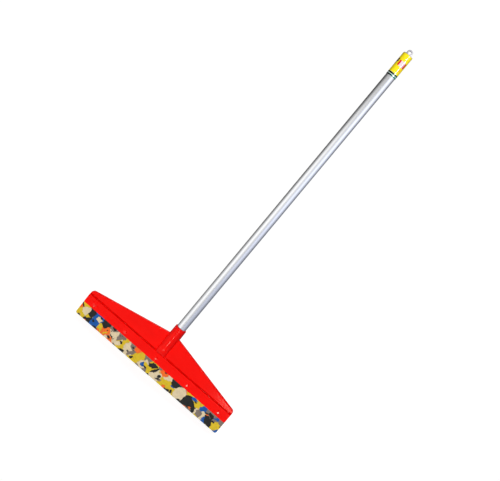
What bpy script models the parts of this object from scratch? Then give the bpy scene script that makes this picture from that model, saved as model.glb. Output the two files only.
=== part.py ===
"""Floor squeegee: a moulded fan head that clamps a foam blade, on a screw-in tube handle.

Frame: X runs along the blade, the front of the head faces -Y and the handle points up +Z.
The origin is the middle of the blade's lower edge. All lengths are in metres.
"""

import math

import bmesh
import bpy
from mathutils import Matrix, Vector

# Clearances
SEAT_GAP = 0.0003          # between two pieces that touch
RIVET_HOLE_GAP = 0.0003    # around a rivet's shank
SOCKET_GAP = 0.0003        # around the tube and the threaded tip in the socket

# Foam blade, as long as the head
BLADE_THICKNESS = 0.012
BLADE_EXPOSED = 0.031      # foam that shows below the band
BLADE_HELD = 0.0185        # foam clamped between the band and the rear strip
BLADE_CORNER_RADIUS = 0.0045

# Head moulding
HEAD_LENGTH = 0.400
BAND_WALL = 0.003
BAND_CORNER_RADIUS = 0.003
BAND_EDGE_ROUND = 0.0008
ROOF_THICKNESS = 0.0027    # web over the foam's top edge
CREASE_HEIGHT = 0.0015     # sunk line between the band and the fan
CREASE_DEPTH = 0.0012
FAN_SETBACK = 0.0013       # fan's face behind the band's face
FAN_WALL = 0.0025
FAN_DEPTH = 0.010
FAN_END_HEIGHT = 0.0098    # fan above the band at the ends of the head
FAN_RISE = 0.0496          # fan above the band at the socket's side
FAN_CORNER_RADIUS = 0.007
FAN_EDGE_ROUND = 0.0018
FAN_CELLS_PER_SIDE = 4
RIB_THICKNESS = 0.002
CELL_CORNER_RADIUS = 0.0015

# Socket for the handle
SOCKET_AXIS_Y = -0.0035
SOCKET_RIM_RADIUS = 0.0134
SOCKET_BASE_RADIUS = 0.0138
SOCKET_RIM_ROUND = 0.0006
SOCKET_ABOVE_FAN = 0.0234
SOCKET_NOSE_START = 0.022  # height above the band where the rounded nose begins
SOCKET_NOSE_STEP = 0.0006
SOCKET_NOSE_OVERLAP = 0.0022  # how far the nose runs down into the roof
NOSE_FRONT_SQUARENESS = 2.2
NOSE_SIDE_SQUARENESS = 8.0
NOSE_SECTION_SQUARENESS = 4.0
COUNTERBORE_DEPTH = 0.014
THREAD_BORE_DEPTH = 0.036
CORE_RADIUS = 0.0075
CORE_DEPTH = 0.013
MOUTH_CHAMFER = 0.0008

# Rear clamping strip
STRIP_THICKNESS = 0.003
STRIP_CORNER_RADIUS = 0.003
STRIP_EDGE_ROUND = 0.0008

# Rivets: a stud from the front and a cap from behind
RIVET_COUNT = 5
RIVET_END_MARGIN = 0.024   # from the head's end to the outermost rivet
RIVET_ABOVE_BAND_EDGE = 0.009
RIVET_SHANK_RADIUS = 0.002
RIVET_HEAD_RADIUS = 0.0041
RIVET_HEAD_HEIGHT = 0.0021
RIVET_HEAD_RIM = 0.0005
RIVET_CAP_HEIGHT = 0.0036
RIVET_SHANK_IN_CAP = 0.0021
RIVET_TIP_CHAMFER = 0.0006

# Handle
TUBE_RADIUS = 0.011
TUBE_WALL = 0.001
TUBE_LENGTH = 0.750
TIP_SHOULDER_RADIUS = 0.0108
TIP_SHOULDER_HEIGHT = 0.002
TIP_THREAD_RADIUS = 0.0101
TIP_THREAD_LENGTH = 0.033
TIP_END_CHAMFER = 0.0020
TIP_PLUG_LENGTH = 0.030
TIP_HOLLOW_RADIUS = 0.0065
TIP_HOLLOW_DEPTH = 0.045
LABEL_LENGTH = 0.054
LABEL_WALL = 0.00025
CAP_PLUG_LENGTH = 0.018
CAP_FLANGE_RADIUS = 0.0110
CAP_FLANGE_HEIGHT = 0.0012
CAP_TAB_WIDTH = 0.0134
CAP_TAB_THICKNESS = 0.0076
CAP_TAB_HEIGHT = 0.0115
CAP_TAB_EDGE_ROUND = 0.0010
CAP_EYE_RADIUS = 0.0032

# Smoothness of the round forms
SOCKET_SIDES = 56
TUBE_SIDES = 56
RIVET_SIDES = 20
HOLE_SIDES = 20
ARC_STEPS = 5
DOME_STEPS = 5
NOSE_STEPS = 10
SHARP_ANGLE = math.radians(32)
ROUND_PROFILE = 0.5
MERGE_DISTANCE = 1e-6
CUT_MARGIN = 0.005

# Lengths worked out from the sizes above
BLADE_LENGTH = HEAD_LENGTH
RIVET_PITCH = (HEAD_LENGTH - 2 * RIVET_END_MARGIN) / (RIVET_COUNT - 1)

# Heights worked out from the sizes above
BAND_BOTTOM = BLADE_EXPOSED
BLADE_TOP = BAND_BOTTOM + BLADE_HELD
ROOF_BOTTOM = BLADE_TOP + SEAT_GAP
BAND_TOP = ROOF_BOTTOM + ROOF_THICKNESS
FAN_END_TOP = BAND_TOP + FAN_END_HEIGHT
FAN_TOP = BAND_TOP + FAN_RISE
RIM_Z = FAN_TOP + SOCKET_ABOVE_FAN
LEDGE_Z = RIM_Z - COUNTERBORE_DEPTH
BORE_FLOOR_Z = LEDGE_Z - THREAD_BORE_DEPTH
NOSE_START_Z = BAND_TOP + SOCKET_NOSE_START
NOSE_LENGTH = SOCKET_NOSE_START + SOCKET_NOSE_OVERLAP
RIVET_Z = BAND_BOTTOM + RIVET_ABOVE_BAND_EDGE
SHOULDER_BOTTOM = LEDGE_Z + SEAT_GAP
SHOULDER_TOP = SHOULDER_BOTTOM + TIP_SHOULDER_HEIGHT
TUBE_BOTTOM = SHOULDER_TOP + SEAT_GAP
TUBE_TOP = TUBE_BOTTOM + TUBE_LENGTH
FLANGE_BOTTOM = TUBE_TOP + SEAT_GAP
FLANGE_TOP = FLANGE_BOTTOM + CAP_FLANGE_HEIGHT
EYE_Z = FLANGE_TOP + CAP_TAB_HEIGHT - CAP_TAB_WIDTH / 2

# Depths worked out from the sizes above
BLADE_FRONT = -BLADE_THICKNESS / 2
BLADE_BACK = BLADE_THICKNESS / 2
BAND_BACK = BLADE_FRONT - SEAT_GAP
BAND_FRONT = BAND_BACK - BAND_WALL
STRIP_FRONT = BLADE_BACK + SEAT_GAP
STRIP_BACK = STRIP_FRONT + STRIP_THICKNESS
ROOF_BACK = STRIP_FRONT - SEAT_GAP
FAN_FRONT = BAND_FRONT + FAN_SETBACK
FAN_BACK = FAN_FRONT + FAN_DEPTH

# Fan's sloping top edge
FAN_SLOPE = (FAN_TOP - FAN_END_TOP) / (HEAD_LENGTH / 2 - SOCKET_BASE_RADIUS)
SLOPE_ANGLE = math.atan(FAN_SLOPE)

PLUG_RADIUS = TUBE_RADIUS - TUBE_WALL - SEAT_GAP
SHANK_HOLE_RADIUS = RIVET_SHANK_RADIUS + RIVET_HOLE_GAP
HANDLE_AXIS = Vector((0.0, SOCKET_AXIS_Y, 0.0))
UP = Vector((0.0, 0.0, 1.0))
TO_BACK = Vector((0.0, 1.0, 0.0))


def clear_scene():
    """Remove every object that a new file opens with."""
    for item in list(bpy.data.objects):
        bpy.data.objects.remove(item, do_unlink=True)


def make_material(name, colour, roughness, metallic=0.0):
    """Return a Principled material of one colour."""
    material = bpy.data.materials.new(name)
    material.use_nodes = True
    shader = material.node_tree.nodes["Principled BSDF"]
    shader.inputs["Base Color"].default_value = (*colour, 1.0)
    shader.inputs["Roughness"].default_value = roughness
    shader.inputs["Metallic"].default_value = metallic
    material.diffuse_color = (*colour, 1.0)
    return material


def rounded_outline(corners, radii, steps=ARC_STEPS):
    """Return a closed outline whose corners are rounded by arcs of the given radii."""
    outline = []
    count = len(corners)
    for index, (corner, radius) in enumerate(zip(corners, radii)):
        here = Vector(corner)
        before = Vector(corners[index - 1]) - here
        after = Vector(corners[(index + 1) % count]) - here
        if radius <= 0:
            outline.append(tuple(here))
            continue
        half = before.angle(after) / 2
        reach = radius / math.tan(half)
        start = here + before.normalized() * reach
        end = here + after.normalized() * reach
        inward = (before.normalized() + after.normalized()).normalized()
        centre = here + inward * (radius / math.sin(half))
        first = start - centre
        last = end - centre
        turn = math.atan2(first.x * last.y - first.y * last.x, first.dot(last))
        for step in range(steps + 1):
            angle = turn * step / steps
            point = centre + Matrix.Rotation(angle, 2) @ first
            outline.append(tuple(point))
    return outline


def finish_mesh(name, bm, smooth=True):
    """Turn a bmesh into a mesh with its faces outward and its round faces smooth."""
    bmesh.ops.remove_doubles(bm, verts=bm.verts, dist=MERGE_DISTANCE)
    bmesh.ops.recalc_face_normals(bm, faces=bm.faces)
    mesh = bpy.data.meshes.new(name)
    bm.to_mesh(mesh)
    bm.free()
    if smooth:
        mesh.shade_smooth()
        mesh.set_sharp_from_angle(angle=SHARP_ANGLE)
    return mesh


def add_object(name, mesh, material=None, parent=None):
    """Link a named object to the scene."""
    item = bpy.data.objects.new(name, mesh)
    bpy.context.scene.collection.objects.link(item)
    if material is not None:
        mesh.materials.append(material)
    if parent is not None:
        item.parent = parent
        item.matrix_parent_inverse = Matrix.Translation(-parent.location)
    return item


def add_guide(name, mesh):
    """Link an object that only shapes another one."""
    item = add_object(name, mesh)
    item.hide_render = True
    item.display_type = "WIRE"
    return item


def combine(target, other, operation):
    """Add an exact Boolean step to an object."""
    step = target.modifiers.new(other.name, "BOOLEAN")
    step.operation = operation
    step.solver = "EXACT"
    step.object = other


def prism_along_y(bm, outline, front, back):
    """Extrude an outline of (x, z) points from front to back, and return its front face."""
    face = bm.faces.new([bm.verts.new((x, front, z)) for x, z in outline])
    grown = bmesh.ops.extrude_face_region(bm, geom=[face])
    moved = [part for part in grown["geom"] if isinstance(part, bmesh.types.BMVert)]
    bmesh.ops.translate(bm, vec=(0.0, back - front, 0.0), verts=moved)
    return face


def prism_along_x(bm, outline, left, right):
    """Extrude an outline of (y, z) points from left to right."""
    face = bm.faces.new([bm.verts.new((left, y, z)) for y, z in outline])
    grown = bmesh.ops.extrude_face_region(bm, geom=[face])
    moved = [part for part in grown["geom"] if isinstance(part, bmesh.types.BMVert)]
    bmesh.ops.translate(bm, vec=(right - left, 0.0, 0.0), verts=moved)


def turn_profile(bm, profile, base, axis, sides, closed=False):
    """Spin (radius, distance along the axis) points once round the axis."""
    across = Vector((1.0, 0.0, 0.0))
    points = [base + across * radius + axis * along for radius, along in profile]
    verts = [bm.verts.new(point) for point in points]
    pairs = list(zip(verts, verts[1:]))
    if closed:
        pairs.append((verts[-1], verts[0]))
    edges = [bm.edges.new(pair) for pair in pairs]
    bmesh.ops.spin(bm, geom=verts + edges, cent=base, axis=axis, angle=2 * math.pi,
                   steps=sides, use_merge=True)
    bmesh.ops.remove_doubles(bm, verts=bm.verts, dist=MERGE_DISTANCE)


def turned_mesh(name, profile, base, axis, sides, closed=False):
    """Return the mesh of one turned body."""
    bm = bmesh.new()
    turn_profile(bm, profile, base, axis, sides, closed)
    return finish_mesh(name, bm)


def rivet_positions():
    """Return the distances of the rivets from the middle of the head."""
    middle = (RIVET_COUNT - 1) / 2
    return [(number - middle) * RIVET_PITCH for number in range(RIVET_COUNT)]


def rivet_hole_mesh(name, front, back):
    """Return a cutter with one round hole for each rivet."""
    bm = bmesh.new()
    depth = back - front
    profile = [(0.0, 0.0), (SHANK_HOLE_RADIUS, 0.0), (SHANK_HOLE_RADIUS, depth), (0.0, depth)]
    for x in rivet_positions():
        turn_profile(bm, profile, Vector((x, front, RIVET_Z)), TO_BACK, HOLE_SIDES)
    return finish_mesh(name, bm, smooth=False)


def fan_edge_height(x):
    """Return the height of the fan's top edge at a distance from the middle."""
    return FAN_END_TOP + FAN_SLOPE * (HEAD_LENGTH / 2 - abs(x))


def fan_plate_mesh():
    """Return the fan as a solid plate whose front edge is rounded."""
    half = HEAD_LENGTH / 2
    foot = BAND_TOP - ROOF_THICKNESS / 2
    corners = [(-half, foot), (half, foot), (half, FAN_END_TOP), (0.0, fan_edge_height(0.0)),
               (-half, FAN_END_TOP)]
    radii = [0.0, 0.0, FAN_CORNER_RADIUS, 0.0, FAN_CORNER_RADIUS]
    bm = bmesh.new()
    front = prism_along_y(bm, rounded_outline(corners, radii), FAN_FRONT, FAN_BACK)
    rim = [edge for edge in front.edges
           if min(vert.co.z for vert in edge.verts) > foot or
           abs(edge.verts[0].co.z - edge.verts[1].co.z) > MERGE_DISTANCE]
    bmesh.ops.bevel(bm, geom=rim, offset=FAN_EDGE_ROUND, segments=2, profile=ROUND_PROFILE,
                    affect="EDGES")
    return finish_mesh("fan_plate", bm)


def fan_cell_mesh():
    """Return the pockets between the ribs behind the fan."""
    inner = SOCKET_BASE_RADIUS - FAN_WALL
    outer = HEAD_LENGTH / 2 - FAN_WALL
    ribs = FAN_CELLS_PER_SIDE - 1
    width = (outer - inner - ribs * RIB_THICKNESS) / FAN_CELLS_PER_SIDE
    drop = FAN_WALL / math.cos(SLOPE_ANGLE)
    end_radius = FAN_CORNER_RADIUS - FAN_WALL
    bm = bmesh.new()
    for side in (-1, 1):
        for cell in range(FAN_CELLS_PER_SIDE):
            near = inner + cell * (width + RIB_THICKNESS)
            far = near + width
            last = cell == FAN_CELLS_PER_SIDE - 1
            corners = [(side * near, BAND_TOP), (side * far, BAND_TOP),
                       (side * far, fan_edge_height(far) - drop),
                       (side * near, fan_edge_height(near) - drop)]
            radii = [CELL_CORNER_RADIUS] * 4
            radii[2] = end_radius if last else CELL_CORNER_RADIUS
            prism_along_y(bm, rounded_outline(corners, radii, steps=3),
                          FAN_FRONT + FAN_WALL, FAN_BACK + CUT_MARGIN)
    return finish_mesh("fan_cells", bm, smooth=False)


def crease_mesh():
    """Return the cutter of the sunk line between the band and the fan."""
    reach = HEAD_LENGTH / 2 + CUT_MARGIN
    front = FAN_FRONT - CUT_MARGIN
    back = FAN_FRONT + CREASE_DEPTH
    bm = bmesh.new()
    outline = [(front, BAND_TOP), (back, BAND_TOP), (back, BAND_TOP + CREASE_HEIGHT),
               (front, BAND_TOP + CREASE_HEIGHT)]
    prism_along_x(bm, outline, -reach, reach)
    return finish_mesh("crease_cut", bm, smooth=False)


def band_bar_mesh():
    """Return the block that holds the band, the roof and the room for the foam."""
    half = HEAD_LENGTH / 2
    corners = [(-half, BAND_BOTTOM), (half, BAND_BOTTOM), (half, BAND_TOP), (-half, BAND_TOP)]
    radii = [BAND_CORNER_RADIUS, BAND_CORNER_RADIUS, 0.0, 0.0]
    bm = bmesh.new()
    front = prism_along_y(bm, rounded_outline(corners, radii), BAND_FRONT, ROOF_BACK)
    bmesh.ops.bevel(bm, geom=list(front.edges), offset=BAND_EDGE_ROUND, segments=2,
                    profile=ROUND_PROFILE, affect="EDGES")
    return finish_mesh("band_bar", bm)


def channel_mesh():
    """Return the cutter of the room for the foam and for the rear strip."""
    reach = HEAD_LENGTH / 2 + CUT_MARGIN
    low = BAND_BOTTOM - CUT_MARGIN
    behind = SOCKET_BASE_RADIUS + STRIP_BACK
    outline = [(BAND_BACK, low), (behind, low), (behind, BAND_TOP + SEAT_GAP),
               (ROOF_BACK, BAND_TOP + SEAT_GAP), (ROOF_BACK, ROOF_BOTTOM),
               (BAND_BACK, ROOF_BOTTOM)]
    bm = bmesh.new()
    prism_along_x(bm, outline, -reach, reach)
    return finish_mesh("channel_cut", bm, smooth=False)


def rounded_share(share, squareness):
    """Return the height of a rounded curve from 1 at share 0 down to 0 at share 1."""
    return max(0.0, 1.0 - share ** squareness) ** (1.0 / squareness)


def shape_nose(point):
    """Flatten a point of the nose towards the fan and square its section, going down."""
    share = min(1.0, (NOSE_START_Z - point.z) / NOSE_LENGTH)
    width = math.hypot(point.x, point.y - SOCKET_AXIS_Y)
    if width < MERGE_DISTANCE:
        return
    flatten = (rounded_share(share, NOSE_FRONT_SQUARENESS) /
               rounded_share(share, NOSE_SIDE_SQUARENESS))
    depth = width * flatten
    power = 2.0 / (2.0 + (NOSE_SECTION_SQUARENESS - 2.0) * share)
    across = point.x / width
    ahead = (point.y - SOCKET_AXIS_Y) / width
    point.x = math.copysign(width * abs(across) ** power, across)
    point.y = SOCKET_AXIS_Y + math.copysign(depth * abs(ahead) ** power, ahead)


def socket_barrel_mesh():
    """Return the outside of the socket, with a slight draft and a rounded nose."""
    profile = [(0.0, RIM_Z), (SOCKET_RIM_RADIUS - SOCKET_RIM_ROUND, RIM_Z),
               (SOCKET_RIM_RADIUS, RIM_Z - SOCKET_RIM_ROUND),
               (SOCKET_BASE_RADIUS, FAN_TOP), (SOCKET_BASE_RADIUS, NOSE_START_Z)]
    full = SOCKET_BASE_RADIUS - SOCKET_NOSE_STEP
    for step in range(NOSE_STEPS + 1):
        share = math.sin(math.pi / 2 * step / NOSE_STEPS)
        radius = full * rounded_share(share, NOSE_SIDE_SQUARENESS)
        profile.append((radius, NOSE_START_Z - NOSE_LENGTH * share))
    bm = bmesh.new()
    turn_profile(bm, profile, HANDLE_AXIS, UP, SOCKET_SIDES)
    for vert in bm.verts:
        if vert.co.z < NOSE_START_Z - MERGE_DISTANCE:
            shape_nose(vert.co)
    return finish_mesh("socket_barrel", bm)


def socket_bore_mesh():
    """Return the stepped bore for the tube and for the threaded tip."""
    tube_bore = TUBE_RADIUS + SOCKET_GAP
    thread_bore = TIP_THREAD_RADIUS + SOCKET_GAP
    mouth = tube_bore + MOUTH_CHAMFER
    above = RIM_Z + CUT_MARGIN
    profile = [(0.0, above), (mouth, above), (mouth, RIM_Z), (tube_bore, RIM_Z - MOUTH_CHAMFER),
               (tube_bore, LEDGE_Z), (thread_bore, LEDGE_Z), (thread_bore, BORE_FLOOR_Z),
               (CORE_RADIUS, BORE_FLOOR_Z), (CORE_RADIUS, BORE_FLOOR_Z - CORE_DEPTH),
               (0.0, BORE_FLOOR_Z - CORE_DEPTH)]
    return turned_mesh("socket_bore", profile, HANDLE_AXIS, UP, SOCKET_SIDES)


def build_head_body(material):
    """Build the moulded head: fan with ribs behind, band, roof and socket."""
    head = add_object("head_body", fan_plate_mesh(), material)
    combine(head, add_guide("fan_cells", fan_cell_mesh()), "DIFFERENCE")
    combine(head, add_guide("crease_cut", crease_mesh()), "DIFFERENCE")
    combine(head, add_guide("band_bar", band_bar_mesh()), "UNION")
    combine(head, add_guide("socket_barrel", socket_barrel_mesh()), "UNION")
    combine(head, add_guide("channel_cut", channel_mesh()), "DIFFERENCE")
    combine(head, add_guide("socket_bore", socket_bore_mesh()), "DIFFERENCE")
    holes = rivet_hole_mesh("band_holes", BAND_FRONT - CUT_MARGIN, BAND_BACK + CUT_MARGIN / 2)
    combine(head, add_guide("band_holes", holes), "DIFFERENCE")
    return head


def build_foam_blade(material):
    """Build the foam strip with its rounded lower corners and rivet holes."""
    half = BLADE_LENGTH / 2
    corners = [(-half, 0.0), (half, 0.0), (half, BLADE_TOP), (-half, BLADE_TOP)]
    radii = [BLADE_CORNER_RADIUS, BLADE_CORNER_RADIUS, 0.0, 0.0]
    bm = bmesh.new()
    prism_along_y(bm, rounded_outline(corners, radii), BLADE_FRONT, BLADE_BACK)
    blade = add_object("foam_blade", finish_mesh("foam_blade", bm), material)
    holes = rivet_hole_mesh("blade_holes", BLADE_FRONT - CUT_MARGIN, BLADE_BACK + CUT_MARGIN)
    combine(blade, add_guide("blade_holes", holes), "DIFFERENCE")
    return blade


def build_rear_strip(material):
    """Build the flat strip that clamps the foam from behind."""
    half = HEAD_LENGTH / 2
    corners = [(-half, BAND_BOTTOM), (half, BAND_BOTTOM), (half, BAND_TOP), (-half, BAND_TOP)]
    radii = [STRIP_CORNER_RADIUS, STRIP_CORNER_RADIUS, STRIP_EDGE_ROUND, STRIP_EDGE_ROUND]
    bm = bmesh.new()
    front = prism_along_y(bm, rounded_outline(corners, radii), STRIP_FRONT, STRIP_BACK)
    seen = {edge for face in bm.faces if face is not front and
            all(abs(vert.co.y - STRIP_BACK) < MERGE_DISTANCE for vert in face.verts)
            for edge in face.edges}
    bmesh.ops.bevel(bm, geom=list(seen), offset=STRIP_EDGE_ROUND, segments=2, profile=ROUND_PROFILE,
                    affect="EDGES")
    strip = add_object("rear_strip", finish_mesh("rear_strip", bm), material)
    holes = rivet_hole_mesh("strip_holes", STRIP_FRONT - CUT_MARGIN, STRIP_BACK + CUT_MARGIN)
    combine(strip, add_guide("strip_holes", holes), "DIFFERENCE")
    return strip


def dome_profile(radius, height, rim):
    """Return the (radius, height) points of a low dome on a short upright rim."""
    rise = height - rim
    points = []
    for step in range(DOME_STEPS + 1):
        angle = math.pi / 2 * step / DOME_STEPS
        points.append((radius * math.cos(angle), rim + rise * math.sin(angle)))
    points[-1] = (0.0, height)
    return points


def rivet_stud_mesh():
    """Return a stud with its head in front and its shank pointing back."""
    head_seat = BAND_FRONT - SEAT_GAP
    shank_end = STRIP_BACK + SEAT_GAP + RIVET_SHANK_IN_CAP - head_seat
    profile = [(radius, -along) for radius, along in
               reversed(dome_profile(RIVET_HEAD_RADIUS, RIVET_HEAD_HEIGHT, RIVET_HEAD_RIM))]
    profile += [(RIVET_HEAD_RADIUS, 0.0), (RIVET_SHANK_RADIUS, 0.0),
                (RIVET_SHANK_RADIUS, shank_end - RIVET_TIP_CHAMFER),
                (RIVET_SHANK_RADIUS - RIVET_TIP_CHAMFER, shank_end), (0.0, shank_end)]
    return turned_mesh("rivet_stud", profile, Vector((0.0, 0.0, 0.0)), TO_BACK, RIVET_SIDES)


def rivet_cap_mesh():
    """Return a domed cap with a blind hole that takes the end of a stud."""
    hole = SHANK_HOLE_RADIUS
    depth = RIVET_SHANK_IN_CAP + SEAT_GAP
    profile = [(0.0, depth), (hole, depth), (hole, 0.0), (RIVET_HEAD_RADIUS, 0.0)]
    profile += dome_profile(RIVET_HEAD_RADIUS, RIVET_CAP_HEIGHT, RIVET_HEAD_RIM)
    return turned_mesh("rivet_cap", profile, Vector((0.0, 0.0, 0.0)), TO_BACK, RIVET_SIDES)


def build_rivets(material):
    """Place a stud and a cap at each rivet position; the copies share two meshes."""
    stud_mesh = rivet_stud_mesh()
    cap_mesh = rivet_cap_mesh()
    stud_mesh.materials.append(material)
    cap_mesh.materials.append(material)
    for number, x in enumerate(rivet_positions(), start=1):
        stud = add_object(f"rivet_stud_{number}", stud_mesh)
        stud.location = (x, BAND_FRONT - SEAT_GAP, RIVET_Z)
        cap = add_object(f"rivet_cap_{number}", cap_mesh)
        cap.location = (x, STRIP_BACK + SEAT_GAP, RIVET_Z)


def build_handle_tube(material, parent):
    """Build the open aluminium tube."""
    inside = TUBE_RADIUS - TUBE_WALL
    profile = [(inside, TUBE_BOTTOM), (inside, TUBE_TOP), (TUBE_RADIUS, TUBE_TOP),
               (TUBE_RADIUS, TUBE_BOTTOM)]
    mesh = turned_mesh("handle_tube", profile, HANDLE_AXIS, UP, TUBE_SIDES, closed=True)
    return add_object("handle_tube", mesh, material, parent)


def build_threaded_tip(material, parent):
    """Build the moulded tip: a plug in the tube, a shoulder and the shank of the thread."""
    thread_end = SHOULDER_BOTTOM - TIP_THREAD_LENGTH
    hollow_top = thread_end + TIP_HOLLOW_DEPTH
    plug_top = TUBE_BOTTOM + TIP_PLUG_LENGTH
    profile = [(0.0, hollow_top), (TIP_HOLLOW_RADIUS, hollow_top),
               (TIP_HOLLOW_RADIUS, thread_end), (TIP_THREAD_RADIUS - TIP_END_CHAMFER, thread_end),
               (TIP_THREAD_RADIUS, thread_end + TIP_END_CHAMFER),
               (TIP_THREAD_RADIUS, SHOULDER_BOTTOM), (TIP_SHOULDER_RADIUS, SHOULDER_BOTTOM),
               (TIP_SHOULDER_RADIUS, SHOULDER_TOP), (PLUG_RADIUS, SHOULDER_TOP),
               (PLUG_RADIUS, plug_top - MOUTH_CHAMFER), (PLUG_RADIUS - MOUTH_CHAMFER, plug_top),
               (0.0, plug_top)]
    mesh = turned_mesh("threaded_tip", profile, HANDLE_AXIS, UP, TUBE_SIDES)
    return add_object("threaded_tip", mesh, material, parent)


def build_label_sleeve(material, parent):
    """Build the thin wrap round the top end of the tube."""
    inside = TUBE_RADIUS + SEAT_GAP
    outside = inside + LABEL_WALL
    low = TUBE_TOP - LABEL_LENGTH
    profile = [(inside, low), (inside, TUBE_TOP), (outside, TUBE_TOP), (outside, low)]
    mesh = turned_mesh("label_sleeve", profile, HANDLE_AXIS, UP, TUBE_SIDES, closed=True)
    return add_object("label_sleeve", mesh, material, parent)


def cap_tab_mesh():
    """Return the upright tab with a round top, which the hanging eye goes through."""
    half = CAP_TAB_WIDTH / 2
    foot = FLANGE_TOP - CAP_FLANGE_HEIGHT / 2
    outline = [(-half, foot), (half, foot)]
    steps = ARC_STEPS * 3
    for step in range(steps + 1):
        angle = math.pi * step / steps
        outline.append((half * math.cos(angle), EYE_Z + half * math.sin(angle)))
    front = SOCKET_AXIS_Y - CAP_TAB_THICKNESS / 2
    back = SOCKET_AXIS_Y + CAP_TAB_THICKNESS / 2
    bm = bmesh.new()
    prism_along_y(bm, outline, front, back)
    rims = [edge for edge in bm.edges
            if abs(edge.verts[0].co.y - edge.verts[1].co.y) < MERGE_DISTANCE and
            max(vert.co.z for vert in edge.verts) > foot + MERGE_DISTANCE]
    bmesh.ops.bevel(bm, geom=rims, offset=CAP_TAB_EDGE_ROUND, segments=2, profile=ROUND_PROFILE,
                    affect="EDGES")
    return finish_mesh("cap_tab", bm)


def build_hang_cap(material, parent):
    """Build the end cap: a plug in the tube, a thin flange and a tab with the eye."""
    plug_bottom = TUBE_TOP - CAP_PLUG_LENGTH
    profile = [(0.0, plug_bottom), (PLUG_RADIUS - MOUTH_CHAMFER, plug_bottom),
               (PLUG_RADIUS, plug_bottom + MOUTH_CHAMFER), (PLUG_RADIUS, FLANGE_BOTTOM),
               (CAP_FLANGE_RADIUS, FLANGE_BOTTOM), (CAP_FLANGE_RADIUS, FLANGE_TOP),
               (0.0, FLANGE_TOP)]
    mesh = turned_mesh("hang_cap", profile, HANDLE_AXIS, UP, TUBE_SIDES)
    cap = add_object("hang_cap", mesh, material, parent)
    combine(cap, add_guide("cap_tab", cap_tab_mesh()), "UNION")
    reach = CAP_TAB_THICKNESS + 2 * CUT_MARGIN
    eye = [(0.0, 0.0), (CAP_EYE_RADIUS, 0.0), (CAP_EYE_RADIUS, reach), (0.0, reach)]
    start = Vector((0.0, SOCKET_AXIS_Y - reach / 2, EYE_Z))
    combine(cap, add_guide("cap_eye", turned_mesh("cap_eye", eye, start, TO_BACK, HOLE_SIDES)),
            "DIFFERENCE")
    return cap


def build_squeegee():
    """Build the head and the handle; the handle's pieces hang on an empty on its axis."""
    red = make_material("red_polypropylene", (0.90, 0.012, 0.008), 0.28)
    foam = make_material("mottled_foam", (0.42, 0.36, 0.24), 0.85)
    metal = make_material("bright_aluminium", (0.78, 0.79, 0.81), 0.22, metallic=1.0)
    pale = make_material("pale_polypropylene", (0.80, 0.80, 0.80), 0.40)
    yellow = make_material("yellow_label", (0.85, 0.72, 0.02), 0.35)

    build_head_body(red)
    build_foam_blade(foam)
    build_rear_strip(red)
    build_rivets(red)

    handle_slide = bpy.data.objects.new("handle_slide", None)
    bpy.context.scene.collection.objects.link(handle_slide)
    handle_slide.location = HANDLE_AXIS + UP * SHOULDER_BOTTOM
    build_handle_tube(metal, handle_slide)
    build_threaded_tip(pale, handle_slide)
    build_label_sleeve(yellow, handle_slide)
    build_hang_cap(pale, handle_slide)


clear_scene()
build_squeegee()
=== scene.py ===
"""Floor squeegee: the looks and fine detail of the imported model, in the CAD frame.

X runs along the blade, the front of the head faces -Y and the handle points up +Z. The origin is
the middle of the blade's lower edge. All lengths are in metres.
"""

import logging
from dataclasses import dataclass, replace
from enum import Enum
from math import copysign, cos, pi, radians, sin, tan
from typing import Any

import bmesh
import bpy
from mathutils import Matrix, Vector


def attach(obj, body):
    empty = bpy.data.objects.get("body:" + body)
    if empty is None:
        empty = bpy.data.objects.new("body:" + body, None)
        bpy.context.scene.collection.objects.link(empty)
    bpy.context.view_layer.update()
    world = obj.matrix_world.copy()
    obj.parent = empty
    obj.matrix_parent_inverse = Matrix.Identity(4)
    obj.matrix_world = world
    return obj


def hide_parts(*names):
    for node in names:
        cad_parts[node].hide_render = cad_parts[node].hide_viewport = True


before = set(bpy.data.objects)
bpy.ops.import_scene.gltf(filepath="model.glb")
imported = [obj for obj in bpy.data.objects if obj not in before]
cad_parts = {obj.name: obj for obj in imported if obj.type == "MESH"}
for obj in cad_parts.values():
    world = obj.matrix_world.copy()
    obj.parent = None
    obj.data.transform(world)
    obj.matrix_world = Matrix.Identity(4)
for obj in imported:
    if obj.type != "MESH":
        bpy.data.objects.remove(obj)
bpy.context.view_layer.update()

LOG = logging.getLogger("floor_squeegee")
MERGE_DISTANCE = 1e-6
SHARP_ANGLE = 32.0
AXIS_Y = -0.0035    # where the upright axis of the socket and the handle stands

Point = tuple[float, float, float]
Colour = tuple[float, float, float]
Span = tuple[float, float]
Ink = tuple[int, int, int]
Mesh = bpy.types.Mesh
Socket = bpy.types.NodeSocket


class Body(str, Enum):
    """The two bodies of the joint."""

    HEAD = "head"
    HANDLE = "handle"


class Screen(str, Enum):
    """How the card before a lamp treats the piece on its list."""

    SHADES = "EXCLUDE"
    FRAMES = "INCLUDE"


class Slot(str, Enum):
    """The record's material slots."""

    RED = "red_polypropylene"
    FOAM = "mottled_foam"
    METAL = "bright_aluminium"
    PALE = "pale_polypropylene"
    LABEL = "yellow_label"


# ---- node graphs


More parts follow.
